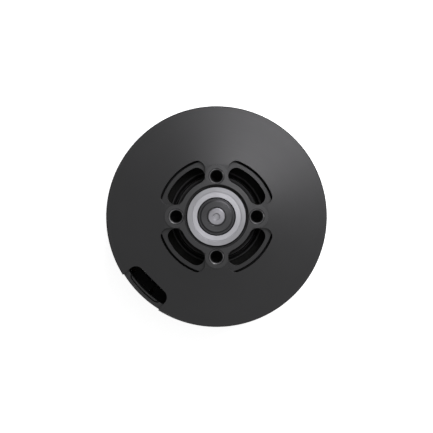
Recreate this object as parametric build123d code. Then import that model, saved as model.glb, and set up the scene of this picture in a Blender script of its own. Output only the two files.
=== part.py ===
from build123d import *
import math
import os

# ---------------------------------------------------------------------------
# Pancake brushless outrunner motor.
# Millimetres, +Z up. The spin axis is Z. z = 0 is the rotor's output face, and
# the stator's mounting face is on top, so the cable notch and the four tapped
# mounting holes are reached from +Z.
# ---------------------------------------------------------------------------

# --- stator base: disc, raised pad, pockets, slots, notch -------------------
BASE_R = 21.90            # outer radius of the base disc
FACE_Z = 20.75            # disc face round the pad
CONE_R = 10.40            # outside this radius the face falls gently to the rim
RIM_FACE_Z = 20.15        # level of the face at the rim
PAD_Z = 21.00             # raised mounting pad, the highest face of the motor
FLANGE_Z = 19.20          # underside of the full-width flange
BAND_R = 21.69            # narrower band below the flange, flush with the bell
DISC_Z = 18.00            # underside of the disc
EDGE_TOP = 0.16           # edge break on the rim, top
EDGE_LOW = 0.12           # edge break on the rim, bottom

BOLT_R = 8.00             # M3 holes: radius of the 16 mm pitch circle
BOLT_HOLE_R = 1.25        # tapping drill of M3
BOLT_MOUTH_R = 1.55       # countersunk mouth
BOLT_BOSS_R = 2.30        # round bosses of the pad, and their continuation below
BOLT_BOSS_Z = 15.00       # lowest level of the bosses, in the lip below them
BOLT_END_Z = 15.90        # lower end of the full bore; a 118 degree drill point is below

SLOT_R = 9.00             # kidney slots: centre-line radius
SLOT_HALF_W = 1.60        # half width, and the radius of the round ends
SLOT_END = 19.1           # end centres, degrees each side of the slot's middle
LEDGE = 0.06              # ledge left between slot and pocket on the inner side
POCKET_OUT_R = 11.82      # outer wall of the milled pocket round each slot
POCKET_Z = 19.75          # floor of the pocket
POCKET_CORNER_R = 1.60
GROOVE_W = 0.46           # relief groove along the pocket's outer wall
GROOVE_Z = 18.40          # bottom of the groove, which narrows downwards
GROOVE_END = 27.3         # groove's ends, degrees each side of the slot's middle

NOTCH_ANGLE = 225.0       # cable notch, degrees from +X
NOTCH_IN = 17.80          # its straight inner edge, from the axis
NOTCH_HALF = 4.72         # half length at the inner edge
NOTCH_HALF_RIM = 5.02     # half length just outside the rim
NOTCH_CORNER_R = 1.60
NOTCH_LIP_R = 20.48       # the lip outside the through hole starts here
NOTCH_DISH_R = 20.78      # shallow dish in the lip, under the lead
NOTCH_DISH_HALF = 4.00
NOTCH_LIP_Z = 18.90       # top of the lip
NOTCH_DISH_Z = 18.65
NOTCH_GROOVE_W = 0.26
NOTCH_GROOVE_Z = 18.25

# --- bearing tube, in one piece with the base -------------------------------
TUBE_R = 7.30             # outside, between the disc and the stator lip
LIP_R = 9.10              # lip that the core is pushed up against
LIP_Z0, LIP_Z1 = 14.20, 15.20
LIP_OUT_R = 9.28          # the lip's top edge reaches over the end insulator
TROUGH_R0, TROUGH_R1, TROUGH_Z = 8.12, 9.00, 13.60   # annular trough in the lip's top
CORE_SEAT_R = 8.78        # outside of the tube under the core
TUBE_Z = 4.60             # lower end of the tube
SHOULDER_R = 5.20         # bore between the two bearing seats
SEAT_R = 6.00             # bearing seats
STEP_R = 6.32             # shallow counterbore above the base-side bearing
STEP_Z = 20.10
MOUTH_R = 6.41            # countersink at the mouth of the counterbore

# --- bearings, 6 x 12 x 4 mm -------------------------------------------------
BRG_BORE_R = 3.00
BRG_OUT_R = 5.99
BRG_W = 4.00
BRG_BREAK = 0.15
BRG_PITCH_R = 4.40        # radius of the ball circle
BALL_R = 0.78
GROOVE_R = 0.82
BALLS = 8
OUT_LAND_R = 5.00         # outer ring, beside the groove
OUT_LIP_R = 4.93          # outer ring, lip that holds the shield
IN_LAND_R = 3.85          # inner ring, beside the groove
IN_FACE_R = 3.65          # inner ring, at its faces
SHIELD_IN_R = 3.79
SHIELD_OUT_R = 5.16
BASE_BRG_Z = 16.40        # lower face of the base-side bearing
ROTOR_BRG_Z = 5.00        # lower face of the rotor-side bearing

# --- stator core and windings -----------------------------------------------
TEETH = 24
CORE_BORE_R = 8.80
CORE_BACK_R = 11.20
CORE_R = 18.00
CORE_Z0, CORE_Z1 = 6.20, 14.20
TOOTH_HALF_W = 0.65
TIP_GAP_DEG = 3.2         # opening between tooth tips
INSULATOR_T = 0.50
COIL_IN, COIL_OUT = 11.60, 16.45
COIL_HALF_IN, COIL_HALF_OUT = 1.33, 1.94
COIL_Z0, COIL_Z1 = 4.40, 16.00

# --- rotor --------------------------------------------------------------------
BELL_R = 21.69
BELL_IN_R = 20.92
BELL_TOP_Z = 17.60
BELL_FLOOR_Z = 2.50
BELL_HUB_R, BELL_HUB_Z = 10.50, 3.60
BELL_BOSS_R, BELL_BOSS_Z = 4.20, 4.70
BELL_BOLT_R = 6.00        # M3 holes: radius of the 12 mm pitch circle
BELL_EDGE_R = 0.90        # rounded edge between output face and wall
WINDOWS = 6
WINDOW_R = 14.20          # centre-line radius of the cooling windows
WINDOW_HALF_W = 2.00
WINDOW_END = 15.9         # end centres, degrees each side of the window's middle
FLUX_R0, FLUX_R1 = 20.27, 20.80
FLUX_Z0, FLUX_Z1 = 3.20, 17.30
POLES = 22
MAGNET_R0, MAGNET_R1 = 18.35, 20.25
MAGNET_Z0, MAGNET_Z1 = 5.20, 15.20
MAGNET_SPAN = 14.0        # degrees covered by each of the 22 magnets
SHAFT_R = 2.99
SHAFT_Z0, SHAFT_Z1 = 0.30, 19.60
SCREW_R = 0.98            # M2
SCREW_HOLE_R = 1.00
COLLAR_R = 3.30
COLLAR_TOP_Z = 20.90
HEAD_R, HEAD_T = 1.73, 0.88
HEAD_SEAT_R = 1.88
HEX_AF = 1.22             # across flats of the socket


def turned(points):
    """Solid of revolution about Z from (radius, z) corners."""
    face = make_face(Polyline(*[(r, 0, z) for r, z in points], close=True))
    return revolve(face, axis=Axis.Z)


def ring(r0, r1, z0, z1):
    return turned([(r0, z0), (r1, z0), (r1, z1), (r0, z1)])


def extruded(sketch, z0, z1):
    return extrude(Pos(0, 0, z0) * sketch, amount=z1 - z0, dir=(0, 0, 1))


def kidney(radius, half_w, end_deg, middle):
    return SlotArc(CenterArc((0, 0), radius, middle - end_deg, 2 * end_deg), 2 * half_w)


def polar(sketch, count, first=0.0):
    parts = [Rot(0, 0, first + 360.0 * i / count) * sketch for i in range(count)]
    total = parts[0]
    for p in parts[1:]:
        total = total + p
    return total


def save(shape, node):
    export_step(shape, f"parts/{node}.step")


def group(solids, label):
    return Compound(children=list(solids), label=label)


# ---------------------------------------------------------------------------
def make_base_plate():
    body = turned([
        (0.5, TUBE_Z), (CORE_SEAT_R - 0.30, TUBE_Z), (CORE_SEAT_R, TUBE_Z + 0.30),
        (CORE_SEAT_R, LIP_Z0), (LIP_R, LIP_Z0), (LIP_R, LIP_Z1 - 0.40), (LIP_OUT_R, LIP_Z1 - 0.36), (LIP_OUT_R, LIP_Z1 - 0.05), (LIP_OUT_R - 0.05, LIP_Z1),
        (TROUGH_R1, LIP_Z1), (TROUGH_R1 - 0.34, LIP_Z1 - 0.80), (TROUGH_R1 - 0.54, TROUGH_Z), (TROUGH_R0 + 0.24, TROUGH_Z), (TROUGH_R0, LIP_Z1),
        (TUBE_R + 0.60, LIP_Z1), (TUBE_R + 0.32, LIP_Z1 + 0.12), (TUBE_R + 0.12, LIP_Z1 + 0.43),
        (TUBE_R, LIP_Z1 + 0.80), (TUBE_R, DISC_Z),
        (BAND_R - EDGE_LOW, DISC_Z), (BAND_R, DISC_Z + EDGE_LOW), (BAND_R, FLANGE_Z),
        (BASE_R - EDGE_LOW, FLANGE_Z), (BASE_R, FLANGE_Z + EDGE_LOW), (BASE_R, RIM_FACE_Z - EDGE_TOP),
        (BASE_R - EDGE_TOP, RIM_FACE_Z), (CONE_R, FACE_Z), (0.5, FACE_Z),
    ])
    # raised pad: ring round the bearing with a round boss at each tapped hole
    bosses = polar(Pos(BOLT_R, 0) * Circle(BOLT_BOSS_R), 4)
    body += extruded(Circle(7.60) + bosses, FACE_Z - 0.5, PAD_Z)
    body += extruded(bosses, BOLT_BOSS_Z, DISC_Z + 0.5)
    # pockets: ring segments between lines parallel to the bolt axes
    slot_end_y = SLOT_R * math.sin(math.radians(45 - SLOT_END)) - SLOT_HALF_W
    side = slot_end_y - LEDGE
    inner = SLOT_R - SLOT_HALF_W - LEDGE
    pocket = (Circle(POCKET_OUT_R) - Circle(inner)) & (Pos(side + 15, side + 15) * Rectangle(30, 30))
    far = [v for v in pocket.vertices() if math.hypot(v.X, v.Y) > 9]
    near = [v for v in pocket.vertices() if math.hypot(v.X, v.Y) <= 9]
    pocket = fillet(far, POCKET_CORNER_R)
    near = [v for v in pocket.vertices() if math.hypot(v.X, v.Y) < inner + 0.05]
    pocket = fillet(near, SLOT_HALF_W + LEDGE)
    groove = Rot(0, 0, 45 - GROOVE_END) * revolve(
        make_face(Polyline(
            (POCKET_OUT_R - GROOVE_W, 0, POCKET_Z + 0.2), (POCKET_OUT_R - GROOVE_W, 0, GROOVE_Z + 0.65),
            (POCKET_OUT_R - 0.30, 0, GROOVE_Z), (POCKET_OUT_R - 0.18, 0, GROOVE_Z),
            (POCKET_OUT_R, 0, GROOVE_Z + 0.65), (POCKET_OUT_R, 0, POCKET_Z + 0.2), close=True)),
        axis=Axis.Z, revolution_arc=2 * GROOVE_END,
    )
    slot = kidney(SLOT_R, SLOT_HALF_W, SLOT_END, 45)
    for i in range(4):
        body -= Rot(0, 0, 90 * i) * groove
        body -= Rot(0, 0, 90 * i) * extruded(pocket, POCKET_Z, PAD_Z + 1)
        body -= Rot(0, 0, 90 * i) * extruded(slot, LIP_Z1 + 0.9, PAD_Z + 1)
    # tapped holes with countersunk mouths
    hole = turned([
        (0, BOLT_END_Z - BOLT_HOLE_R / math.tan(math.radians(59))), (BOLT_HOLE_R, BOLT_END_Z),
        (BOLT_HOLE_R, PAD_Z - (BOLT_MOUTH_R - BOLT_HOLE_R)), (BOLT_MOUTH_R, PAD_Z),
        (BOLT_MOUTH_R, PAD_Z + 0.5), (0, PAD_Z + 0.5),
    ])
    for i in range(4):
        body -= Rot(0, 0, 90 * i) * Pos(BOLT_R, 0, 0) * hole
    # bearing seats and the bore between them
    body -= turned([
        (0, TUBE_Z - 1), (SEAT_R + 0.2, TUBE_Z - 1), (SEAT_R + 0.2, TUBE_Z), (SEAT_R, TUBE_Z + 0.2),
        (SEAT_R, ROTOR_BRG_Z + BRG_W + 0.4), (SHOULDER_R, ROTOR_BRG_Z + BRG_W + 0.4),
        (SHOULDER_R, BASE_BRG_Z), (SEAT_R, BASE_BRG_Z), (SEAT_R, STEP_Z), (STEP_R, STEP_Z),
        (STEP_R, PAD_Z - (MOUTH_R - STEP_R)), (MOUTH_R, PAD_Z), (MOUTH_R, PAD_Z + 1), (0, PAD_Z + 1),
    ])
    # cable notch: cut through the flange as far as the rim, with a through hole
    # inside it and a shallow dish with a grooved edge in the lip that is left
    turn = Rot(0, 0, NOTCH_ANGLE - 90)
    notch = Polygon(
        (-NOTCH_HALF, NOTCH_IN), (NOTCH_HALF, NOTCH_IN), (NOTCH_HALF_RIM, 22.6), (-NOTCH_HALF_RIM, 22.6),
        align=None,
    )
    notch = fillet([v for v in notch.vertices() if v.Y < 18], NOTCH_CORNER_R)
    body -= turn * extruded(notch, NOTCH_LIP_Z, PAD_Z + 1)
    body -= turn * extruded(notch & Circle(NOTCH_LIP_R), DISC_Z - 1, PAD_Z + 1)

    def dish(radius, half):
        outline = Circle(radius) & Pos(0, 20) * Rectangle(2 * half, 5.0)
        corners = [v for v in outline.vertices() if v.Y > 19]
        return fillet(corners, 0.95) & (Circle(30) - Circle(NOTCH_LIP_R - 0.4))

    floor = dish(NOTCH_DISH_R, NOTCH_DISH_HALF - NOTCH_GROOVE_W)
    body -= turn * extruded(floor, NOTCH_DISH_Z, PAD_Z + 1)
    rim = dish(NOTCH_DISH_R + NOTCH_GROOVE_W, NOTCH_DISH_HALF) - dish(NOTCH_DISH_R, NOTCH_DISH_HALF - NOTCH_GROOVE_W)
    body -= turn * extruded(rim, NOTCH_GROOVE_Z, PAD_Z + 1)
    return body


def tooth_sketch(half_w, tip_r, back_r, bore_r, tips=True):
    """One ring with 24 teeth on it; tips widen at the air gap."""
    tip_half = math.radians((360.0 / TEETH - TIP_GAP_DEG) / 2)
    stem = Polygon((back_r - 0.6, -half_w), (tip_r - 0.1, -half_w), (tip_r - 0.1, half_w), (back_r - 0.6, half_w), align=None)
    if tips:
        r0, r1 = tip_r - 0.85, tip_r + 0.6
        stem += Polygon(
            (tip_r - 1.35, -half_w), (r0, -r0 * math.sin(tip_half)), (r1, -r1 * math.sin(tip_half)),
            (r1, r1 * math.sin(tip_half)), (r0, r0 * math.sin(tip_half)), (tip_r - 1.35, half_w),
            align=None,
        )
    stem = stem & Circle(tip_r)
    return (Circle(back_r) - Circle(bore_r)) + polar(stem, TEETH)


def make_coil(angle):
    """Racetrack coil wound round one tooth, wider towards the tip."""
    block = extruded(
        Polygon((COIL_IN, -COIL_HALF_IN), (COIL_OUT, -COIL_HALF_OUT), (COIL_OUT, COIL_HALF_OUT), (COIL_IN, COIL_HALF_IN), align=None),
        COIL_Z0, COIL_Z1)
    long_edges = [e for e in block.edges() if abs(e.tangent_at(0.5).X) > 0.9]
    block = fillet(long_edges, 0.95)
    hole = Pos((COIL_IN + COIL_OUT) / 2, 0, (CORE_Z0 + CORE_Z1) / 2) * Box(
        COIL_OUT - COIL_IN + 2, 2 * 0.80, CORE_Z1 - CORE_Z0 + 2 * INSULATOR_T + 0.1)
    return Rot(0, 0, angle) * (block - hole)


def make_bearing(z0):
    """6 x 12 x 4 shielded ball bearing with its lower face at z0."""
    z1, zm, b = z0 + BRG_W, z0 + BRG_W / 2, BRG_BREAK
    groove = revolve(Pos(BRG_PITCH_R, 0, zm) * Rot(90, 0, 0) * Circle(GROOVE_R), axis=Axis.Z)
    outer = turned([
        (OUT_LIP_R, z0), (BRG_OUT_R - b, z0), (BRG_OUT_R, z0 + b), (BRG_OUT_R, z1 - b), (BRG_OUT_R - b, z1),
        (OUT_LIP_R, z1), (OUT_LIP_R, z1 - 0.12), (SHIELD_OUT_R + 0.04, z1 - 0.12), (SHIELD_OUT_R + 0.04, z1 - 0.42),
        (OUT_LAND_R, z1 - 0.42), (OUT_LAND_R, z0 + 0.42), (SHIELD_OUT_R + 0.04, z0 + 0.42),
        (SHIELD_OUT_R + 0.04, z0 + 0.12), (OUT_LIP_R, z0 + 0.12),
    ]) - groove
    inner = turned([
        (BRG_BORE_R + 0.12, z0), (IN_FACE_R - 0.05, z0), (IN_FACE_R, z0 + 0.05), (IN_FACE_R, z0 + 0.5),
        (IN_LAND_R, z0 + 0.62), (IN_LAND_R, z1 - 0.62), (IN_FACE_R, z1 - 0.5), (IN_FACE_R, z1 - 0.05),
        (IN_FACE_R - 0.05, z1), (BRG_BORE_R + 0.12, z1), (BRG_BORE_R, z1 - 0.12), (BRG_BORE_R, z0 + 0.12),
    ]) - groove
    shields = []
    for zt, s in ((z1, -1), (z0, 1)):
        # pressed shield: flat web, with its outer edge rolled into the ring
        za, zb = zt + s * 0.15, zt + s * 0.39
        shields.append(turned([
            (SHIELD_IN_R + 0.05, za), (OUT_LIP_R - 0.18, za), (OUT_LIP_R - 0.05, za + s * 0.05), (SHIELD_OUT_R, za + s * 0.05),
            (SHIELD_OUT_R, zb), (SHIELD_IN_R, zb), (SHIELD_IN_R, za + s * 0.05),
        ]))
    pitch = 360.0 / BALLS
    balls = [Rot(0, 0, pitch * i) * Pos(BRG_PITCH_R, 0, zm) * Sphere(BALL_R) for i in range(BALLS)]
    cage = ring(4.14, 4.66, zm - 1.02, zm + 1.02)
    for i in range(BALLS):
        cage -= Rot(0, 0, pitch * i) * Pos(BRG_PITCH_R, 0, zm) * Rot(0, 90, 0) * Cylinder(0.84, 2.0)
    return outer, inner, shields[0], shields[1], balls, cage


def make_wave_washer():
    """Three-wave spring washer between the rotor-side bearing and the tube's shoulder."""
    z_mid, amp, r0, r1, t, n = ROTOR_BRG_Z + BRG_W + 0.2, 0.11, 5.30, 5.88, 0.14, 72
    rows = []
    for i in range(n):
        a = 2 * math.pi * i / n
        z = z_mid + amp * math.sin(3 * a)
        rows.append([
            Vector(r0 * math.cos(a), r0 * math.sin(a), z - t / 2), Vector(r1 * math.cos(a), r1 * math.sin(a), z - t / 2),
            Vector(r1 * math.cos(a), r1 * math.sin(a), z + t / 2), Vector(r0 * math.cos(a), r0 * math.sin(a), z + t / 2),
        ])
    faces = []
    for i in range(n):
        p, q = rows[i], rows[(i + 1) % n]
        for k in range(4):
            a, b, c, d = p[k], p[(k + 1) % 4], q[(k + 1) % 4], q[k]
            faces.append(Face(Wire.make_polygon([a, b, c], close=True)))
            faces.append(Face(Wire.make_polygon([a, c, d], close=True)))
    return Solid(Shell(faces))


def make_rotor_bell():
    e = BELL_EDGE_R
    arc = [(BELL_R - e + e * math.sin(math.radians(t)), e - e * math.cos(math.radians(t))) for t in range(0, 91, 10)]
    body = turned([
        (BRG_BORE_R + 0.3, 0)] + arc + [
        (BELL_R, BELL_TOP_Z - 0.10), (BELL_R - 0.10, BELL_TOP_Z), (BELL_IN_R + 0.12, BELL_TOP_Z), (BELL_IN_R, BELL_TOP_Z - 0.12),
        (BELL_IN_R, FLUX_Z0), (FLUX_R0, FLUX_Z0), (FLUX_R0, BELL_FLOOR_Z + 0.4), (FLUX_R0 - 0.4, BELL_FLOOR_Z),
        (BELL_HUB_R + 0.3, BELL_FLOOR_Z), (BELL_HUB_R, BELL_FLOOR_Z + 0.3), (BELL_HUB_R, BELL_HUB_Z - 0.2), (BELL_HUB_R - 0.2, BELL_HUB_Z),
        (BELL_BOSS_R, BELL_HUB_Z), (BELL_BOSS_R, BELL_BOSS_Z - 0.2), (BELL_BOSS_R - 0.2, BELL_BOSS_Z),
        (BRG_BORE_R, BELL_BOSS_Z), (BRG_BORE_R, 0.3),
    ])
    hole = turned([
        (0, -0.5), (BOLT_MOUTH_R, -0.5), (BOLT_MOUTH_R, 0), (BOLT_HOLE_R, BOLT_MOUTH_R - BOLT_HOLE_R), (BOLT_HOLE_R, BELL_HUB_Z + 1), (0, BELL_HUB_Z + 1),
    ])
    for i in range(4):
        body -= Rot(0, 0, 45 + 90 * i) * Pos(BELL_BOLT_R, 0, 0) * hole
    for i in range(WINDOWS):
        body -= extruded(kidney(WINDOW_R, WINDOW_HALF_W, WINDOW_END, 30 + 60 * i), -1, BELL_FLOOR_Z + 1)
    return body


def make_magnets():
    solids = []
    for i in range(POLES):
        mid = 360.0 / POLES * (i + 0.5)
        blank = turned([(MAGNET_R0, MAGNET_Z0), (MAGNET_R1, MAGNET_Z0), (MAGNET_R1, MAGNET_Z1), (MAGNET_R0, MAGNET_Z1)])
        wedge = extruded(Polygon(
            (0, 0), *[(30 * math.cos(math.radians(a)), 30 * math.sin(math.radians(a))) for a in (-MAGNET_SPAN / 2, MAGNET_SPAN / 2)],
            align=None), MAGNET_Z0 - 1, MAGNET_Z1 + 1)
        if i == 0:
            one = blank & wedge
            one = chamfer(one.edges().filter_by(Axis.Z), 0.12)
        solids.append(Rot(0, 0, mid) * one)
    return solids


def make_shaft():
    c = 0.25
    body = turned([
        (0, SHAFT_Z0), (SHAFT_R - c, SHAFT_Z0), (SHAFT_R, SHAFT_Z0 + c), (SHAFT_R, SHAFT_Z1 - c), (SHAFT_R - c, SHAFT_Z1), (0, SHAFT_Z1),
    ])
    return body - turned([(0, SHAFT_Z1 - 6.6), (SCREW_HOLE_R, SHAFT_Z1 - 6.0), (SCREW_HOLE_R, SHAFT_Z1 + 1), (0, SHAFT_Z1 + 1)])


HEAD_SEAT_Z = COLLAR_TOP_Z - 0.95


def make_collar():
    """Cap on the shaft's end: a spigot in the bearing's bore, and a rim that holds the inner ring."""
    return turned([
        (1.12, SHAFT_Z1), (SHAFT_R - 0.1, SHAFT_Z1), (SHAFT_R - 0.01, SHAFT_Z1 + 0.1), (SHAFT_R - 0.01, BASE_BRG_Z + BRG_W), (COLLAR_R, BASE_BRG_Z + BRG_W),
        (COLLAR_R, COLLAR_TOP_Z - 0.15), (COLLAR_R - 0.30, COLLAR_TOP_Z), (HEAD_SEAT_R + 0.06, COLLAR_TOP_Z),
        (HEAD_SEAT_R, COLLAR_TOP_Z - 0.06), (HEAD_SEAT_R, HEAD_SEAT_Z), (1.12, HEAD_SEAT_Z),
    ])


def make_screw():
    top = HEAD_SEAT_Z + HEAD_T
    tip = SHAFT_Z1 - 5.5
    body = turned([
        (0, tip), (SCREW_R - 0.25, tip), (SCREW_R, tip + 0.25), (SCREW_R, HEAD_SEAT_Z), (HEAD_R, HEAD_SEAT_Z), (HEAD_R, top - 0.16),
        (HEAD_R - 0.05, top - 0.06), (HEAD_R - 0.16, top), (0, top),
    ])
    socket = Rot(0, 0, 90) * RegularPolygon(HEX_AF / 2, 6, major_radius=False)
    body -= extruded(socket, top - 0.55, top + 1)
    mouth = turned([(0, top - 0.04), (HEX_AF / math.sqrt(3) - 0.02, top - 0.04), (HEX_AF / math.sqrt(3) + 0.05, top + 0.03), (0, top + 0.03)])
    return body - mouth


def make_sleeve():
    """Sleeve over the joint of the three phases, lying along the coil ends."""
    path_r, r, z = 14.2, 0.70, COIL_Z1 + 0.95
    tube = revolve(Rot(0, 0, 150) * Pos(path_r, 0, z) * Rot(90, 0, 0) * Circle(r), axis=Axis.Z, revolution_arc=32)
    return tube


def main():
    os.makedirs("parts", exist_ok=True)
    save(make_base_plate(), "base_plate")
    save(extruded(tooth_sketch(TOOTH_HALF_W, CORE_R, CORE_BACK_R, CORE_BORE_R), CORE_Z0, CORE_Z1), "stator_core")
    end = tooth_sketch(TOOTH_HALF_W + 0.10, CORE_R - 0.9, CORE_BACK_R + 0.25, LIP_R + 0.10, tips=False)
    save(extruded(end, CORE_Z1, CORE_Z1 + INSULATOR_T), "upper_end_insulator")
    save(extruded(end, CORE_Z0 - INSULATOR_T, CORE_Z0), "lower_end_insulator")
    # winding order of the three phases round the 24 teeth
    order = "AaBbCcAaBbCcAaBbCcAaBbCc"
    for name in "abc":
        teeth = [i for i, p in enumerate(order) if p.lower() == name]
        save(group([make_coil(360.0 / TEETH * i) for i in teeth], name), f"phase_{name}_windings")
    save(make_sleeve(), "star_point_sleeve")
    for name, z in (("base", BASE_BRG_Z), ("rotor", ROTOR_BRG_Z)):
        outer, inner, upper, lower, balls, cage = make_bearing(z)
        save(outer, f"{name}_bearing_outer_ring")
        save(inner, f"{name}_bearing_inner_ring")
        out_shield, in_shield = (upper, lower) if name == "base" else (lower, upper)
        save(out_shield, f"{name}_bearing_outer_shield")
        save(in_shield, f"{name}_bearing_inner_shield")
        save(group(balls, "balls"), f"{name}_bearing_balls")
        save(cage, f"{name}_bearing_cage")
    save(make_wave_washer(), "preload_wave_washer")
    save(make_rotor_bell(), "rotor_bell")
    save(turned([
        (FLUX_R0, FLUX_Z0), (FLUX_R1, FLUX_Z0), (FLUX_R1, FLUX_Z1 - 0.08), (FLUX_R1 - 0.08, FLUX_Z1), (FLUX_R0 + 0.05, FLUX_Z1), (FLUX_R0, FLUX_Z1 - 0.05),
    ]), "flux_ring")
    save(group(make_magnets(), "magnets"), "magnets")
    save(make_shaft(), "shaft")
    save(make_collar(), "retaining_collar")
    save(make_screw(), "retaining_screw")
    save(ring(BRG_BORE_R + 0.05, 3.62, BELL_BOSS_Z, ROTOR_BRG_Z), "bearing_shim")


main()
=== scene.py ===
import math

import bpy
import numpy as np
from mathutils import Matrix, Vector


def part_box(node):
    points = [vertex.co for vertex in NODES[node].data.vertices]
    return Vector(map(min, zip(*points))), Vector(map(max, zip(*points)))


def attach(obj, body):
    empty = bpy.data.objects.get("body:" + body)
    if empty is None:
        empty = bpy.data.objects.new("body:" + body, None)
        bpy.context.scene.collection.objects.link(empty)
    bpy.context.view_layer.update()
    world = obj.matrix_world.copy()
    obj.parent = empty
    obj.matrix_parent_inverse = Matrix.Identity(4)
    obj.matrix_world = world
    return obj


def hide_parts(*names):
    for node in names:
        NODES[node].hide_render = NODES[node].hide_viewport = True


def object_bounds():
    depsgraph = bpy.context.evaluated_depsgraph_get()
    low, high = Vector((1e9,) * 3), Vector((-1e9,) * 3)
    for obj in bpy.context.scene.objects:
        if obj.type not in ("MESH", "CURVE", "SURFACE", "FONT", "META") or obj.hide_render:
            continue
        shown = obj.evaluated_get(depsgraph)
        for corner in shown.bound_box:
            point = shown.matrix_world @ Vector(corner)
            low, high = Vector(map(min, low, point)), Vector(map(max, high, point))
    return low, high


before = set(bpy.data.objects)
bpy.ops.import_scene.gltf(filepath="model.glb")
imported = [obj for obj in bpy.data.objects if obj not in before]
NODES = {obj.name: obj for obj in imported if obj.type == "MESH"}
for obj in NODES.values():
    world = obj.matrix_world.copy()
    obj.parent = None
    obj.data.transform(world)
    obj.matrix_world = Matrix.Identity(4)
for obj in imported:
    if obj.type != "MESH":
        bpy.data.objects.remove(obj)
CAD_LO, CAD_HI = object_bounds()
MM = 0.001


# ---------------------------------------------------------------------------
# camera: straight down on the mounting face, +Y up in the picture
# ---------------------------------------------------------------------------
rim_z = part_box("base_plate")[1].z - 0.85 * MM
rim_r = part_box("base_plate")[1].x
DIST = 0.62
cam_data = bpy.data.cameras.new("camera")
cam_data.sensor_width = 36.0
across = 433.0 / 110.45 * rim_r          # width of the picture at the rim's height
cam_data.lens = 36.0 * DIST / across
cam_data.clip_start, cam_data.clip_end = 0.01, 20.0
cam = bpy.data.objects.new("camera", cam_data)
px = across / 433.0
cam.location = (-0.01 * px, 0.04 * px, rim_z + DIST)
cam.rotation_euler = (0, 0, 0)
bpy.context.scene.collection.objects.link(cam)
bpy.context.scene.camera = cam


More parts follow.
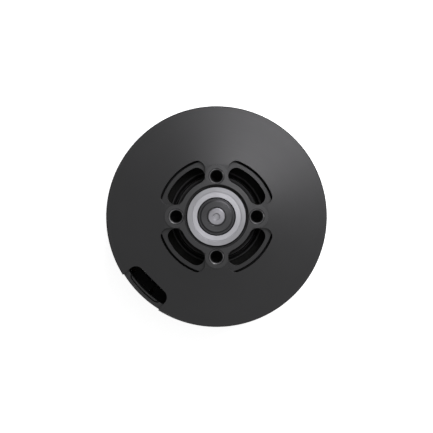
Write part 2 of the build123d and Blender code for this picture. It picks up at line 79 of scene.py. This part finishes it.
# ---------------------------------------------------------------------------
# small helpers for node materials
# ---------------------------------------------------------------------------
class Mat:
    """A node material on a Principled shader, with short calls for the nodes used here."""

    def __init__(self, name):
        self.m = bpy.data.materials.new(name)
        self.m.use_nodes = True
        self.t = self.m.node_tree
        self.t.nodes.clear()
        self.out = self.t.nodes.new("ShaderNodeOutputMaterial")
        self.p = self.t.nodes.new("ShaderNodeBsdfPrincipled")
        self.link(self.p.outputs[0], self.out.inputs[0])
        self.co = self.t.nodes.new("ShaderNodeTexCoord").outputs["Object"]
        self._xyz = None

    def link(self, a, b):
        self.t.links.new(a, b)

    def set(self, **values):
        for k, v in values.items():
            s = self.p.inputs[k.replace("_", " ")]
            s.default_value = v
        return self

    def put(self, socket, value):
        if isinstance(value, (int, float)):
            socket.default_value = value
        elif isinstance(value, (tuple, list)):
            socket.default_value = tuple(value) if len(socket.default_value) == len(value) else (*value, 1.0)
        else:
            self.link(value, socket)

    def math(self, op, a, b=0.0, c=0.0, clamp=False):
        n = self.t.nodes.new("ShaderNodeMath")
        n.operation, n.use_clamp = op, clamp
        for s, v in zip(n.inputs, (a, b, c)):
            self.put(s, v)
        return n.outputs[0]

    def xyz(self):
        """Object coordinates in millimetres, as three sockets."""
        if self._xyz is None:
            s = self.t.nodes.new("ShaderNodeSeparateXYZ")
            self.link(self.co, s.inputs[0])
            self._xyz = [self.math("MULTIPLY", s.outputs[i], 1000.0) for i in range(3)]
        return self._xyz

    def hyp(self, a, b):
        return self.math("SQRT", self.math("ADD", self.math("MULTIPLY", a, a), self.math("MULTIPLY", b, b)))

    def radius(self):
        x, y, _ = self.xyz()
        return self.hyp(x, y)

    def noise(self, scale, detail=3.0, rough=0.55, w=None, vector=None, distort=0.0):
        n = self.t.nodes.new("ShaderNodeTexNoise")
        n.noise_dimensions = "1D" if w is not None else "3D"
        if w is not None:
            self.put(n.inputs["W"], w)
        else:
            self.link(vector or self.co, n.inputs["Vector"])
        n.inputs["Scale"].default_value = scale
        n.inputs["Detail"].default_value = detail
        n.inputs["Roughness"].default_value = rough
        n.inputs["Distortion"].default_value = distort
        return n.outputs[0]

    def remap(self, v, a, b, lo=0.0, hi=1.0, smooth=False):
        n = self.t.nodes.new("ShaderNodeMapRange")
        n.interpolation_type = "SMOOTHSTEP" if smooth else "LINEAR"
        for s, x in zip(("Value", "From Min", "From Max", "To Min", "To Max"), (v, a, b, lo, hi)):
            self.put(n.inputs[s], x)
        return n.outputs[0]

    def mix(self, fac, a, b):
        n = self.t.nodes.new("ShaderNodeMix")
        n.data_type = "RGBA"
        self.put(n.inputs[0], fac)
        for s, v in ((n.inputs[6], a), (n.inputs[7], b)):
            self.put(s, (*v, 1.0) if isinstance(v, (tuple, list)) and len(v) == 3 else v)
        return n.outputs[2]

    def bump(self, height, distance, strength=1.0, normal=None):
        n = self.t.nodes.new("ShaderNodeBump")
        self.put(n.inputs["Height"], height)
        n.inputs["Distance"].default_value = distance
        n.inputs["Strength"].default_value = strength
        if normal is not None:
            self.link(normal, n.inputs["Normal"])
        return n.outputs[0]

    def bevel(self, radius):
        n = self.t.nodes.new("ShaderNodeBevel")
        n.samples = 4
        n.inputs["Radius"].default_value = radius
        return n.outputs[0]

    def edge(self, radius, lo=0.01, hi=0.25):
        """1 on sharp convex or concave edges, 0 on the faces between them."""
        g = self.t.nodes.new("ShaderNodeNewGeometry")
        d = self.t.nodes.new("ShaderNodeVectorMath")
        d.operation = "DOT_PRODUCT"
        self.link(self.bevel(radius), d.inputs[0])
        self.link(g.outputs["Normal"], d.inputs[1])
        return self.remap(self.math("SUBTRACT", 1.0, d.outputs["Value"]), lo, hi)

    def tangent_round(self):
        n = self.t.nodes.new("ShaderNodeTangent")
        n.direction_type, n.axis = "RADIAL", "Z"
        self.link(n.outputs[0], self.p.inputs["Tangent"])
        self.p.inputs["Anisotropic Rotation"].default_value = 0.25

    def vec(self, op, a, b=None, scale=None):
        n = self.t.nodes.new("ShaderNodeVectorMath")
        n.operation = op
        self.link(a, n.inputs[0])
        if b is not None:
            self.put(n.inputs[1], b)
        if scale is not None:
            self.put(n.inputs["Scale"], scale)
        return n.outputs["Value"] if op in ("DOT_PRODUCT", "LENGTH") else n.outputs[0]

    def turning(self, normal, slope):
        """Tilt the normal away from the Z axis by a slope, as the flanks of turning marks do."""
        out = self.vec("NORMALIZE", self.vec("MULTIPLY", self.co, (1.0, 1.0, 0.0)))
        v = self.t.nodes.new("ShaderNodeVectorTransform")
        v.vector_type, v.convert_from, v.convert_to = "VECTOR", "OBJECT", "WORLD"
        self.link(out, v.inputs[0])
        return self.vec("NORMALIZE", self.vec("ADD", normal, self.vec("SCALE", v.outputs[0], scale=slope)))

    def colour(self, v):
        self.put(self.p.inputs["Base Color"], v)

    def rough(self, v):
        self.put(self.p.inputs["Roughness"], v)

    def normal(self, v):
        self.link(v, self.p.inputs["Normal"])


top = CAD_HI.z / MM


def anodised(name, holes, hole_z0, hole_z1, bias, inside_z=None):
    """Black anodised, finely turned aluminium. Turning marks lean outwards, and the chamfers of the tapped holes are bare."""
    m = Mat(name)
    x, y, z = m.xyz()
    r = m.radius()
    along = m.math("ADD", r, m.math("MULTIPLY", z, 1.7))
    fine = m.noise(11.0, 2.0, 0.6, w=along)
    coarse = m.noise(1.3, 2.0, 0.5, w=along)
    blotch = m.noise(70.0, 4.0, 0.6)
    grain = m.noise(3600.0, 2.0, 0.6)
    wear = m.math("MULTIPLY", m.edge(0.09 * MM, 0.04, 0.35), m.remap(m.noise(900.0, 4.0, 0.65), 0.40, 0.66))
    base = m.mix(blotch, (0.0095, 0.0095, 0.0100), (0.0150, 0.0150, 0.0158))
    base = m.mix(m.remap(fine, 0.35, 0.7, 0.0, 0.30), base, (0.020, 0.020, 0.021))
    base = m.mix(m.math("MULTIPLY", wear, 0.35), base, (0.12, 0.12, 0.125))
    if holes:
        best = None
        for hx, hy in holes:
            d = m.hyp(m.math("SUBTRACT", x, hx), m.math("SUBTRACT", y, hy))
            best = d if best is None else m.math("MINIMUM", best, d)
        mouth = m.math("MULTIPLY", m.remap(best, 1.57, 1.50, smooth=True), m.remap(best, 1.26, 1.36, smooth=True))
        mouth = m.math("MULTIPLY", mouth, m.math("MULTIPLY", m.math("GREATER_THAN", z, hole_z0), m.math("LESS_THAN", z, hole_z1)))
        base = m.mix(mouth, base, (0.55, 0.55, 0.56))
        m.link(mouth, m.p.inputs["Metallic"])
    rough = m.math("ADD", m.remap(blotch, 0.3, 0.7, 0.325, 0.355), m.remap(coarse, 0.3, 0.7, -0.015, 0.015))
    if inside_z is not None:
        # the top face of the raised pad is painted a shade lighter: painted light
        base = m.mix(m.remap(z, top - 0.16, top - 0.04), base, (0.027, 0.027, 0.028))
        # the hidden tube and its lip are rougher and painted darker: painted shade deep in the motor
        inner = m.remap(z, inside_z, inside_z - 0.8, smooth=True)
        # the step and the chamfer round the bearing are matt and painted near-black: painted shade in the gap round the
        # bearing
        seat_shade = m.math("MULTIPLY", m.math("LESS_THAN", r, 6.405), m.math("GREATER_THAN", z, 19.9))
        base = m.mix(seat_shade, base, (0.004, 0.004, 0.0042))
        rough = m.math("ADD", rough, m.math("MULTIPLY", seat_shade, 0.28))
        # the narrow relief grooves of the pockets and of the cable notch are matt and painted near-black: painted shade
        groove_shade = m.math("MULTIPLY", m.remap(z, 19.74, 19.62), m.math("MULTIPLY", m.math("GREATER_THAN", r, 11.2), m.math("LESS_THAN", r, 12.8)))
        slit_shade = m.math("MULTIPLY", m.remap(z, 18.64, 18.58), m.math("MULTIPLY", m.math("GREATER_THAN", r, 19.5), m.math("LESS_THAN", r, 21.3)))
        groove_shade = m.math("MAXIMUM", groove_shade, slit_shade)
        # the recessed floor of the notch is a little rougher and painted darker: painted shade in the recess
        dish_shade = m.math("MULTIPLY", m.remap(z, 18.80, 18.70), m.math("MULTIPLY", m.math("GREATER_THAN", r, 19.5), m.math("LESS_THAN", r, 21.2)))
        base = m.mix(m.math("MULTIPLY", dish_shade, 0.8), base, (0.004, 0.004, 0.0042))
        rough = m.math("ADD", rough, m.math("MULTIPLY", dish_shade, 0.12))
        # painted shade in the relief grooves
        base = m.mix(groove_shade, base, (0.0008, 0.0008, 0.0008))
        rough = m.math("ADD", rough, m.math("MULTIPLY", groove_shade, 0.45))
        # painted shade deep in the tube and on its lip
        base = m.mix(inner, base, (0.0035, 0.0035, 0.0036))
        rough = m.math("ADD", rough, m.math("MULTIPLY", inner, 0.26))
    m.colour(base)
    m.rough(rough)
    if inside_z is not None:
        bias = m.remap(r, 12.0, 21.0, bias, bias - 0.009)
    marks = m.math("ADD", bias, m.remap(fine, 0.25, 0.75, -0.035, 0.035))
    n = m.turning(m.bevel(0.05 * MM), marks)
    n = m.bump(grain, 0.0007 * MM, 1.0, n)
    m.normal(n)
    m.set(IOR=1.50, Anisotropic=0.15)
    m.tangent_round()
    return m.m


def steel(name, colour, rough=0.28, marks=0.03, aniso=0.4, spots=0.05, edge=0.25, tint=None, bias=0.0, rim=None, rim_painted_tone=0.12, rim_rough=0.0):
    """Ground or turned steel: ring marks round the axis, cloudy gloss and edges painted lighter as painted highlights;
    rim is an outer band painted darker or lighter by rim_painted_tone, as painted shade or painted light, and made
    rougher.
    """
    m = Mat(name)
    r = m.radius()
    _, _, z = m.xyz()
    along = m.math("ADD", r, m.math("MULTIPLY", z, 1.31))
    fine = m.noise(16.0, 2.0, 0.6, w=along)
    cloud = m.noise(420.0, 4.0, 0.6)
    dark = tuple(c * (1 - spots) for c in colour)
    light = tuple(min(1.0, c * (1 + spots)) for c in colour)
    base = m.mix(m.remap(cloud, 0.3, 0.7), dark, light)
    base = m.mix(m.remap(fine, 0.3, 0.75, 0.0, 0.4), base, tuple(min(1.0, c * 1.10) for c in colour))
    if tint:
        base = m.mix(m.remap(m.noise(900.0, 3.0, 0.6), 0.55, 0.75, 0.0, 0.6), base, tint)
    # edges painted lighter: painted highlight
    base = m.mix(m.math("MULTIPLY", m.edge(0.05 * MM, 0.02, 0.3), edge), base, (0.8, 0.8, 0.82))
    gloss = m.remap(cloud, 0.3, 0.7, rough - 0.02, rough + 0.03)
    if rim:
        # painted shade or painted light on the outer rim band, by the factor given
        outer = m.remap(r, rim[0], rim[1], smooth=True)
        base = m.mix(outer, base, tuple(c * rim_painted_tone for c in colour))
        gloss = m.math("ADD", gloss, m.math("MULTIPLY", outer, rim_rough))
    m.colour(base)
    m.rough(gloss)
    n = m.turning(m.bevel(0.03 * MM), m.math("ADD", bias, m.remap(fine, 0.25, 0.75, -marks, marks)))
    n = m.bump(m.noise(4200.0, 2.0, 0.6), 0.0003 * MM, 1.0, n)
    m.normal(n)
    m.set(Metallic=1.0, Anisotropic=aniso)
    m.tangent_round()
    return m.m


def laminations(name):
    """Coated lamination stack: 0.35 mm sheets with a fine gap between them."""
    m = Mat(name)
    _, _, z = m.xyz()
    phase = m.math("FRACT", m.math("DIVIDE", z, 0.35))
    gap = m.remap(m.math("ABSOLUTE", m.math("SUBTRACT", phase, 0.5)), 0.36, 0.5)
    cloud = m.noise(600.0, 4.0, 0.6)
    base = m.mix(cloud, (0.020, 0.020, 0.022), (0.045, 0.044, 0.046))
    base = m.mix(m.math("MULTIPLY", gap, 0.7), base, (0.008, 0.008, 0.009))
    base = m.mix(m.math("MULTIPLY", m.edge(0.05 * MM, 0.05, 0.4), 0.35), base, (0.22, 0.21, 0.2))
    m.colour(base)
    m.rough(m.remap(cloud, 0.3, 0.7, 0.50, 0.65))
    n = m.bump(gap, -0.02 * MM, 1.0, m.bevel(0.03 * MM))
    m.normal(m.bump(m.noise(4500.0, 2.0, 0.6), 0.003 * MM, 1.0, n))
    m.set(Metallic=0.55)
    return m.m


def fibre_board(name):
    """Dark glass-fibre laminate with its weave showing faintly."""
    m = Mat(name)
    x, y, _ = m.xyz()
    weave = m.math("MULTIPLY", m.math("SINE", m.math("MULTIPLY", x, 15.0)), m.math("SINE", m.math("MULTIPLY", y, 15.0)))
    cloud = m.noise(700.0, 3.0, 0.6)
    base = m.mix(m.remap(weave, -1.0, 1.0), (0.0012, 0.0014, 0.0009), (0.0026, 0.0030, 0.0018))
    base = m.mix(m.remap(cloud, 0.4, 0.8, 0.0, 0.4), base, (0.004, 0.004, 0.004))
    m.colour(base)
    m.set(IOR=1.25)
    m.rough(m.remap(cloud, 0.3, 0.7, 0.60, 0.75))
    m.normal(m.bump(weave, 0.006 * MM, 1.0, m.bevel(0.03 * MM)))
    return m.m


def copper_wire(name, warm):
    """Enamelled copper: warm metal under a clear varnish, each turn a little different."""
    m = Mat(name)
    cloud = m.noise(500.0, 4.0, 0.6)
    turn = m.noise(2600.0, 2.0, 0.5)
    a = (0.46 * warm, 0.155 * warm, 0.045 * warm)
    b = (0.62 * warm, 0.235 * warm, 0.080 * warm)
    base = m.mix(m.remap(turn, 0.3, 0.7), a, b)
    base = m.mix(m.remap(cloud, 0.52, 0.78, 0.0, 0.6), base, (0.20, 0.055, 0.015))
    m.colour(base)
    m.rough(m.remap(cloud, 0.3, 0.7, 0.22, 0.38))
    m.normal(m.bump(m.noise(3800.0, 3.0, 0.6), 0.003 * MM))
    m.set(Metallic=1.0, Coat_Weight=0.7, Coat_Roughness=0.16)
    return m.m


def shrink_sleeve(name):
    m = Mat(name)
    cloud = m.noise(900.0, 4.0, 0.6)
    m.colour(m.mix(cloud, (0.012, 0.012, 0.012), (0.035, 0.035, 0.036)))
    m.rough(m.remap(cloud, 0.3, 0.7, 0.45, 0.62))
    m.normal(m.bump(m.noise(1300.0, 3.0, 0.6, distort=0.6), 0.02 * MM))
    return m.m


def coated_magnet(name):
    """Sintered magnets under dark epoxy, with small pits and rubbed edges."""
    m = Mat(name)
    cloud = m.noise(500.0, 5.0, 0.65)
    pits = m.remap(m.noise(3000.0, 2.0, 0.5), 0.62, 0.72)
    base = m.mix(cloud, (0.0025, 0.0025, 0.0027), (0.0060, 0.0060, 0.0065))
    base = m.mix(m.math("MULTIPLY", m.edge(0.06 * MM, 0.05, 0.4), 0.3), base, (0.05, 0.05, 0.052))
    m.colour(base)
    m.rough(m.remap(cloud, 0.3, 0.7, 0.75, 0.90))
    m.normal(m.bump(pits, -0.01 * MM, 1.0, m.bevel(0.05 * MM)))
    m.set(IOR=1.25)
    return m.m


def polished_ball(name):
    m = Mat(name)
    cloud = m.noise(1800.0, 3.0, 0.5)
    m.colour(m.mix(cloud, (0.62, 0.62, 0.64), (0.72, 0.72, 0.74)))
    m.rough(m.remap(cloud, 0.3, 0.7, 0.06, 0.13))
    m.normal(m.bump(cloud, 0.0004 * MM))
    m.set(Metallic=1.0)
    return m.m


BASE_HOLES = [(8, 0), (0, 8), (-8, 0), (0, -8)]
q = 6 * math.sqrt(0.5)
BELL_HOLES = [(q, q), (-q, q), (-q, -q), (q, -q)]
M_BASE = anodised("base_anodised", BASE_HOLES, top - 0.33, top + 0.1, 0.080, 17.9)
M_BELL = anodised("bell_anodised", BELL_HOLES, -0.1, 0.33, 0.03)
# the outer chamfer of the bearing's outer ring is painted dark: painted shade at the fit gap
M_RING = steel("bearing_ring_steel", (0.365, 0.365, 0.382), 0.30, 0.008, 0.25, edge=0.04, bias=0.012, rim=(5.75, 5.81))
# dark copies of the bearing steel for the rotor-side bearing: painted shade deep inside the motor
M_RING_IN = steel("ring_steel_painted_shade", (0.075, 0.075, 0.078), 0.42, 0.010, 0.25, edge=0.05)
M_SHIELD_IN = steel("shield_steel_painted_shade", (0.090, 0.090, 0.093), 0.42, 0.008, 0.2, edge=0.05)
# the shield's step is painted lighter: painted light
M_SHIELD = steel("bearing_shield_steel", (0.445, 0.445, 0.466), 0.36, 0.005, 0.20, edge=0.06, bias=0.0, rim=(4.69, 4.74), rim_painted_tone=1.12, rim_rough=0.22)
# the inner rings are steel painted dark: painted shade in the recess round the collar
M_INNER = steel("inner_ring_steel_painted_shade", (0.075, 0.075, 0.079), 0.24, 0.03, 0.4, edge=0.15, bias=0.02)
M_SPRING = steel("spring_steel", (0.30, 0.29, 0.28), 0.30, 0.02, 0.2, tint=(0.20, 0.15, 0.09))
M_CAGE = steel("cage_steel", (0.42, 0.40, 0.36), 0.32, 0.02, 0.1)
M_FLUX = steel("flux_ring_steel", (0.006, 0.006, 0.0063), 0.60, 0.05, 0.3, spots=0.25, edge=0.02)
M_SHAFT = steel("shaft_steel", (0.52, 0.52, 0.54), 0.22, 0.03, 0.5)
# the collar's outer chamfer is painted darker: painted shade that damps its highlight
M_COLLAR = steel("black_oxide_steel", (0.094, 0.094, 0.098), 0.22, 0.020, 0.4, spots=0.1, edge=0.12, bias=0.02, rim=(2.97, 3.04), rim_painted_tone=0.72, rim_rough=0.22)
M_SCREW = steel("stainless_screw", (0.30, 0.297, 0.316), 0.34, 0.010, 0.2, spots=0.10, edge=0.05)

for node, mat in {
    "base_plate": M_BASE,
    "rotor_bell": M_BELL,
    "stator_core": laminations("lamination_stack"),
    "upper_end_insulator": fibre_board("end_insulator_board"),
    "lower_end_insulator": fibre_board("end_insulator_board_lower"),
    "star_point_sleeve": shrink_sleeve("shrink_sleeve"),
    "base_bearing_outer_ring": M_RING,
    "rotor_bearing_outer_ring": M_RING_IN,
    "base_bearing_outer_shield": M_SHIELD,
    "base_bearing_inner_shield": M_SHIELD,
    "rotor_bearing_outer_shield": M_SHIELD_IN,
    "rotor_bearing_inner_shield": M_SHIELD_IN,
    "base_bearing_inner_ring": M_INNER,
    "rotor_bearing_inner_ring": M_INNER,
    "preload_wave_washer": M_SPRING,
    "bearing_shim": M_SPRING,
    "base_bearing_cage": M_CAGE,
    "rotor_bearing_cage": M_CAGE,
    "base_bearing_balls": polished_ball("ball_steel_a"),
    "rotor_bearing_balls": polished_ball("ball_steel_b"),
    "flux_ring": M_FLUX,
    "magnets": coated_magnet("magnet_coating"),
    "shaft": M_SHAFT,
    "retaining_collar": M_COLLAR,
    "retaining_screw": M_SCREW,
}.items():
    o = NODES[node]
    o.data.materials.clear()
    o.data.materials.append(mat)


# ---------------------------------------------------------------------------
# wound coils: turns of round wire over a filled core, in place of the plain CAD coils
# ---------------------------------------------------------------------------
COIL_IN, COIL_OUT = 11.60, 16.45
HALF_IN, HALF_OUT = 1.33, 1.94
COIL_Z0, COIL_Z1 = 4.40, 16.00
TOOTH_HALF, TOOTH_Z0, TOOTH_Z1 = 0.80, 5.65, 14.75
WIRE_D = 0.30
ORDER = "AaBbCcAaBbCcAaBbCcAaBbCc"


def half_at(x):
    return HALF_IN + (HALF_OUT - HALF_IN) * (x - COIL_IN) / (COIL_OUT - COIL_IN)


def loop(half, z0, z1, corner, n_corner=5, bulge=0.0):
    """Rounded rectangle in (y, z), counter-clockwise, as an array of points."""
    pts = []
    for cy, cz, a0 in ((half - corner, z1 - corner, 0), (-half + corner, z1 - corner, 90), (-half + corner, z0 + corner, 180), (half - corner, z0 + corner, 270)):
        for i in range(n_corner):
            a = math.radians(a0 + 90 * i / (n_corner - 1))
            pts.append((cy + corner * math.cos(a), cz + corner * math.sin(a)))
    # middle points on the long sides keep the wire straight there
    out = []
    n = len(pts)
    for i, p in enumerate(pts):
        out.append(p)
        nxt = pts[(i + 1) % n]
        if (i + 1) % n_corner == 0:
            out.append(((p[0] + nxt[0]) / 2 + bulge * (1 if p[0] > 0 else -1) * (1 if abs(p[0] - nxt[0]) < 0.01 else 0), (p[1] + nxt[1]) / 2))
    return np.array(out)


def tube(path, radius, sides=6):
    """Closed-ended tube of quads round an open path."""
    path = np.asarray(path, float)
    d = np.gradient(path, axis=0)
    d /= np.linalg.norm(d, axis=1)[:, None]
    ref = np.array([1.0, 0.0, 0.0])
    side = np.cross(d, ref)
    bad = np.linalg.norm(side, axis=1) < 0.05
    side[bad] = np.cross(d[bad], np.array([0.0, 0.0, 1.0]))
    side /= np.linalg.norm(side, axis=1)[:, None]
    up = np.cross(side, d)
    ang = np.arange(sides) * 2 * math.pi / sides
    v = path[:, None, :] + radius * (np.cos(ang)[None, :, None] * side[:, None, :] + np.sin(ang)[None, :, None] * up[:, None, :])
    n = len(path)
    idx = np.arange(n * sides).reshape(n, sides)
    nxt = np.roll(idx, -1, axis=1)
    quads = np.stack([idx[:-1], nxt[:-1], nxt[1:], idx[1:]], axis=-1).reshape(-1, 4)
    faces = [list(map(int, f)) for f in quads]
    faces.append([int(i) for i in idx[0][::-1]])
    faces.append([int(i) for i in idx[-1]])
    return v.reshape(-1, 3), faces


def coil_mesh(rng):
    """Vertices and faces of one coil on the tooth that points along +X, in millimetres."""
    r = WIRE_D / 2
    turns = int((COIL_OUT - COIL_IN - WIRE_D) / WIRE_D)
    x0 = (COIL_IN + COIL_OUT) / 2 - turns * WIRE_D / 2
    path = []
    for t in range(turns):
        wob = rng.uniform(-0.012, 0.012, 3)
        a = x0 + WIRE_D * t
        base = loop(half_at(a + r) - r - 0.012 + wob[0], COIL_Z0 + r + 0.015 + wob[1], COIL_Z1 - r - 0.015 + wob[2], 0.80)
        n = len(base)
        for i, (y, z) in enumerate(base):
            # the wire steps to the next turn along one long side only
            step = min(1.0, max(0.0, (i / n - 0.80) / 0.16))
            path.append((a + WIRE_D * step, y, z))
    verts, faces = tube(path, r * 0.985)
    # filled coil under the outer layer, with the tooth's hole in it
    inset = 0.20
    rings = []
    for x in (COIL_IN + 0.05, COIL_OUT - 0.05):
        outer = loop(half_at(x) - inset, COIL_Z0 + inset, COIL_Z1 - inset, 0.75)
        inner = loop(TOOTH_HALF + 0.01, TOOTH_Z0 - 0.01, TOOTH_Z1 + 0.01, 0.10)
        rings.append((np.column_stack([np.full(len(outer), x), outer]), np.column_stack([np.full(len(inner), x), inner])))
    (o0, i0), (o1, i1) = rings
    n = len(o0)
    base = len(verts)
    verts = np.vstack([verts, o0, i0, o1, i1])
    for k in range(n):
        j = (k + 1) % n
        a, b, c, d = base, base + n, base + 2 * n, base + 3 * n
        faces += [[a + k, a + j, c + j, c + k], [b + j, b + k, d + k, d + j], [a + j, a + k, b + k, b + j], [c + k, c + j, d + j, d + k]]
    return verts, faces


def make_object(name, verts, faces, material, smooth=True):
    mesh = bpy.data.meshes.new(name)
    mesh.from_pydata([tuple(v) for v in np.asarray(verts) * MM], [], faces)
    mesh.validate()
    mesh.polygons.foreach_set("use_smooth", [smooth] * len(mesh.polygons))
    mesh.materials.append(material)
    mesh.update()
    o = bpy.data.objects.new(name, mesh)
    bpy.context.scene.collection.objects.link(o)
    return o


def turned_about_z(verts, deg):
    a = math.radians(deg)
    c, s = math.cos(a), math.sin(a)
    return verts @ np.array([[c, s, 0], [-s, c, 0], [0, 0, 1]])


for phase, warm in (("a", 1.0), ("b", 0.93), ("c", 1.05)):
    rng = np.random.default_rng(ord(phase))
    all_v, all_f, count = [], [], 0
    for i, p in enumerate(ORDER):
        if p.lower() != phase:
            continue
        v, f = coil_mesh(rng)
        all_v.append(turned_about_z(v, 15.0 * i))
        all_f += [[k + count for k in q4] for q4 in f]
        count += len(v)
    coil = make_object(f"phase_{phase}_wound_wire", np.vstack(all_v), all_f, copper_wire(f"enamelled_wire_{phase}", warm))
    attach(coil, "stator")
    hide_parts(f"phase_{phase}_windings")


# ---------------------------------------------------------------------------
# threads in the tapped holes
# ---------------------------------------------------------------------------
def thread(z0, z1, r_wall, r_crest, pitch=0.5, per_turn=28):
    """Helical ridge standing in from the wall of a hole on the Z axis."""
    n = int((z1 - z0) / pitch * per_turn)
    verts, faces = [], []
    for i in range(n + 1):
        a = 2 * math.pi * i / per_turn
        z = z0 + (z1 - z0) * i / n
        fade = min(1.0, i / (0.4 * per_turn), (n - i) / (0.4 * per_turn))
        rc = r_wall + 0.02 - (r_wall + 0.02 - r_crest) * fade
        for rr, dz in ((r_wall + 0.03, -0.17), (rc, -0.04), (rc, 0.04), (r_wall + 0.03, 0.17)):
            verts.append((rr * math.cos(a), rr * math.sin(a), z + dz))
    for i in range(n):
        a, b = 4 * i, 4 * (i + 1)
        for k in range(4):
            j = (k + 1) % 4
            faces.append([a + k, b + k, b + j, a + j])
    faces.append([3, 2, 1, 0])
    faces.append([4 * n, 4 * n + 1, 4 * n + 2, 4 * n + 3])
    return np.array(verts), faces


for name, body, holes, z0, z1, mat, slot in (
    ("base_hole_threads", "stator", BASE_HOLES, 16.2, top - 0.55, M_BASE, "anodised_black"),
    ("rotor_hole_threads", "rotor", BELL_HOLES, 0.55, 3.3, M_BELL, "bell_black"),
):
    all_v, all_f, count = [], [], 0
    for hx, hy in holes:
        v, f = thread(z0, z1, 1.25, 1.165)
        all_v.append(v + np.array([hx, hy, 0.0]))
        all_f += [[k + count for k in q4] for q4 in f]
        count += len(v)
    t = make_object(name, np.vstack(all_v), all_f, mat)
    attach(t, body)


# ---------------------------------------------------------------------------
# floor, world and lights
# ---------------------------------------------------------------------------
def floor_material():
    m = bpy.data.materials.new("pale_floor")
    m.use_nodes = True
    t = m.node_tree
    p = t.nodes["Principled BSDF"]
    p.inputs["Base Color"].default_value = (0.80, 0.80, 0.80, 1)
    p.inputs["Roughness"].default_value = 0.9
    p.inputs["Emission Color"].default_value = (1, 1, 1, 1)
    p.inputs["Emission Strength"].default_value = 0.78
    p.inputs["Specular IOR Level"].default_value = 0.1
    # seen from underneath the floor is clear, so that the underside of the motor can be looked at
    g = t.nodes.new("ShaderNodeNewGeometry")
    clear = t.nodes.new("ShaderNodeBsdfTransparent")
    mix = t.nodes.new("ShaderNodeMixShader")
    t.links.new(g.outputs["Backfacing"], mix.inputs[0])
    t.links.new(p.outputs[0], mix.inputs[1])
    t.links.new(clear.outputs[0], mix.inputs[2])
    t.links.new(mix.outputs[0], t.nodes["Material Output"].inputs[0])
    return m


bpy.ops.mesh.primitive_plane_add(size=8.0, location=(0, 0, -0.0001))
floor = bpy.context.object
floor.name = "floor"
floor.data.materials.append(floor_material())
# only the camera sees the floor; the motor is lit from below by the studio itself
floor.visible_diffuse = False
floor.visible_glossy = False
floor.visible_transmission = False
floor.visible_volume_scatter = False
floor.visible_shadow = False

world = bpy.data.worlds.new("studio")
bpy.context.scene.world = world
world.use_nodes = True
wt = world.node_tree
bg = wt.nodes["Background"]
bg.inputs[0].default_value = (1.0, 1.0, 1.0, 1)
tc = wt.nodes.new("ShaderNodeTexCoord")
sep = wt.nodes.new("ShaderNodeSeparateXYZ")
wt.links.new(tc.outputs["Generated"], sep.inputs[0])
ramp = wt.nodes.new("ShaderNodeValToRGB")
half = wt.nodes.new("ShaderNodeMath")
half.operation = "MULTIPLY_ADD"
half.inputs[1].default_value = 0.5
half.inputs[2].default_value = 0.5
wt.links.new(sep.outputs["Z"], half.inputs[0])
wt.links.new(half.outputs[0], ramp.inputs[0])
# brightness of the surroundings by height, from straight down (-1) to straight up (+1)
LEVELS = ((-1.0, 0.55), (-0.45, 0.50), (-0.12, 0.16), (0.0, 0.09), (0.25, 0.13), (0.60, 0.27), (0.85, 0.52), (1.0, 0.64))
el = ramp.color_ramp.elements
while len(el) < len(LEVELS):
    el.new(0.5)
for e, (height, v) in zip(el, LEVELS):
    e.position = (height + 1) / 2
    e.color = (v, v, v, 1)
lean = wt.nodes.new("ShaderNodeVectorMath")
lean.operation = "DOT_PRODUCT"
wt.links.new(tc.outputs["Generated"], lean.inputs[0])
lean.inputs[1].default_value = (0.50 * math.cos(math.radians(15)), 0.50 * math.sin(math.radians(15)), 0)
gain = wt.nodes.new("ShaderNodeMath")
gain.operation = "ADD"
wt.links.new(lean.outputs["Value"], gain.inputs[0])
gain.inputs[1].default_value = 1.0
sky = wt.nodes.new("ShaderNodeMath")
sky.operation = "MULTIPLY"
wt.links.new(gain.outputs[0], sky.inputs[0])
wt.links.new(ramp.outputs[0], sky.inputs[1])
lp = wt.nodes.new("ShaderNodeLightPath")
mix = wt.nodes.new("ShaderNodeMix")
mix.data_type = "FLOAT"
wt.links.new(lp.outputs["Is Camera Ray"], mix.inputs[0])
wt.links.new(sky.outputs[0], mix.inputs[2])
mix.inputs[3].default_value = 1.0
wt.links.new(mix.outputs[0], bg.inputs[1])


def softbox(name, azimuth, polar, distance, size, luminance, colour=(1, 1, 1)):
    """Round (disk) area light that looks at the motor; luminance is its radiance."""
    a, p = math.radians(azimuth), math.radians(polar)
    at = Vector((math.cos(a) * math.sin(p), math.sin(a) * math.sin(p), math.cos(p))) * distance + Vector((0, 0, 0.02))
    d = bpy.data.lights.new(name, "AREA")
    d.shape = "DISK"
    d.size = size
    d.energy = luminance * math.pi * (math.pi * size * size / 4) 
    d.color = colour
    o = bpy.data.objects.new(name, d)
    o.location = at
    o.rotation_euler = (Vector((0, 0, 0.02)) - at).to_track_quat("-Z", "Y").to_euler()
    bpy.context.scene.collection.objects.link(o)
    return o


softbox("key", 57.0, 35.0, 0.9, 0.64, 6.0, (0.975, 0.965, 1.0))
softbox("key_side_strip", 66, 79, 0.9, 0.34, 1.6)
softbox("left_strip", 196, 80, 1.0, 0.36, 1.0)
softbox("front_strip", 300, 81, 1.0, 0.36, 0.6)
softbox("under", 20, 158, 0.5, 0.30, 2.4)
# low strips: soft upright sheens on the bell's wall, as a pale table gives it
softbox("low_strip_a", 238, 114, 0.9, 0.52, 2.6)
softbox("low_strip_b", 335, 114, 0.9, 0.40, 1.5)
softbox("low_strip_c", 145, 114, 0.9, 0.52, 2.2)
softbox("low_strip_d", 48, 114, 0.9, 0.40, 1.5)

sc = bpy.context.scene
sc.view_settings.view_transform = "Standard"
sc.view_settings.look = "None"
sc.view_settings.exposure = 0.0
sc.view_settings.gamma = 1.0
